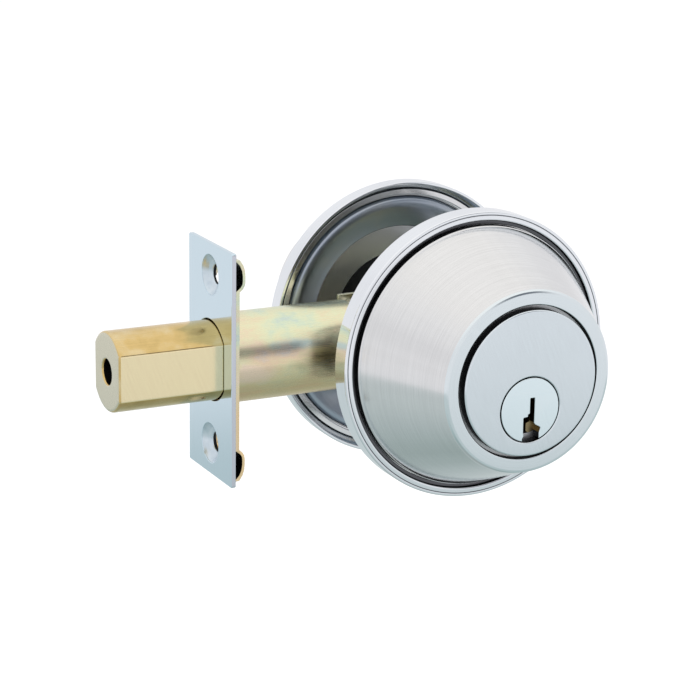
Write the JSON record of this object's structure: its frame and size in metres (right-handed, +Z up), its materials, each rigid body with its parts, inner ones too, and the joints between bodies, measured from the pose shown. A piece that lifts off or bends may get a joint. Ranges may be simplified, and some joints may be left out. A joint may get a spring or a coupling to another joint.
{
  "type": "deadbolt door lock",
  "caption": "Tubular deadbolt door lock with a keyed cylinder and tapered collar outside, a thumb-turn inside, and a sliding bolt in a tube behind a screwed faceplate.",
  "frame": {"origin": "centre of the door's cross bore on the bolt's axis, 60 mm behind the faceplate's front, 17.5 mm from the outside door face and 15 mm from the inside one", "axes": "-X out of the door's edge, the way the bolt is thrown; -Y outside, +Y inside; +Z up"},
  "size_m": [0.1218, 0.1115, 0.071],
  "materials": {
    "polished_chrome": "polished, mirror-like",
    "satin_chrome": "satin, fine circular brushing",
    "yellow_zinc": "yellow zinc plating with a faint rainbow tint",
    "satin_brass": "satin, grain along the bolt",
    "plain_steel": "plain bright steel",
    "hardened_steel": "ground, hardened",
    "cast_metal": "smooth zinc alloy casting",
    "pin_brass": "turned",
    "spring_steel": "drawn wire and pressed clips",
    "dark_steel": "dull pressed steel"
  },
  "bodies": {
    "fixed": {"faceplate": "polished_chrome", "backing_plate": "yellow_zinc", "latch_tube": "yellow_zinc", "tube_bulkhead": "plain_steel", "cheek_outer": "yellow_zinc", "cheek_inner": "yellow_zinc", "frame_spacers": "plain_steel", "outside_rose": "polished_chrome", "cylinder_housing": "cast_metal", "cylinder_cap": "polished_chrome", "driver_pins": "pin_brass", "pin_springs": "spring_steel", "chamber_cover": "plain_steel", "mounting_posts": "plain_steel", "inside_rose": "polished_chrome", "inside_collar": "satin_chrome", "inside_plate": "dark_steel", "inside_core": "cast_metal", "inside_cap": "polished_chrome", "mounting_screws": "plain_steel"},
    "bolt": {"bolt": "satin_brass", "hardened_pin": "hardened_steel", "tail_plate_outer": "yellow_zinc", "tail_plate_inner": "yellow_zinc", "tail_rivet": "plain_steel"},
    "crank": {"crank": "plain_steel", "drive_pin": "hardened_steel"},
    "plug": {"key_plug": "polished_chrome", "key_pins": "pin_brass", "plug_clip": "spring_steel", "tailpiece": "plain_steel", "tail_pin": "hardened_steel"},
    "turn": {"thumb_turn": "satin_chrome", "turn_spindle": "plain_steel", "turn_clip": "spring_steel"},
    "collar": {"outside_collar": "satin_chrome"}
  },
  "joints": [
    {"name": "thumb_turn_spin", "type": "hinge", "parent": "fixed", "child": "turn", "pos_m": [0, 0.05, -0.00633], "axis": [0, 1, 0], "range_deg": [0, 90]},
    {"name": "key_turn", "type": "hinge", "parent": "fixed", "child": "plug", "pos_m": [0, -0.03, -0.00633], "axis": [0, 1, 0], "range_deg": [0, 90]},
    {"name": "crank_turn", "type": "hinge", "parent": "fixed", "child": "crank", "pos_m": [0, 0, -0.00633], "axis": [0, 1, 0], "range_deg": [0, 90]},
    {"name": "bolt_slide", "type": "slide", "parent": "fixed", "child": "bolt", "axis": [1, 0, 0], "range_m": [0, 0.025]},
    {"name": "collar_spin", "type": "hinge", "parent": "fixed", "child": "collar", "pos_m": [0, -0.03, 0], "axis": [0, 1, 0], "continuous": true}
  ],
  "couplings": [
    {"joint": "thumb_turn_spin", "follows": "bolt_slide", "rad_per_m": 62.83},
    {"joint": "key_turn", "follows": "bolt_slide", "rad_per_m": 62.83},
    {"joint": "crank_turn", "follows": "bolt_slide", "rad_per_m": 62.83}
  ]
}
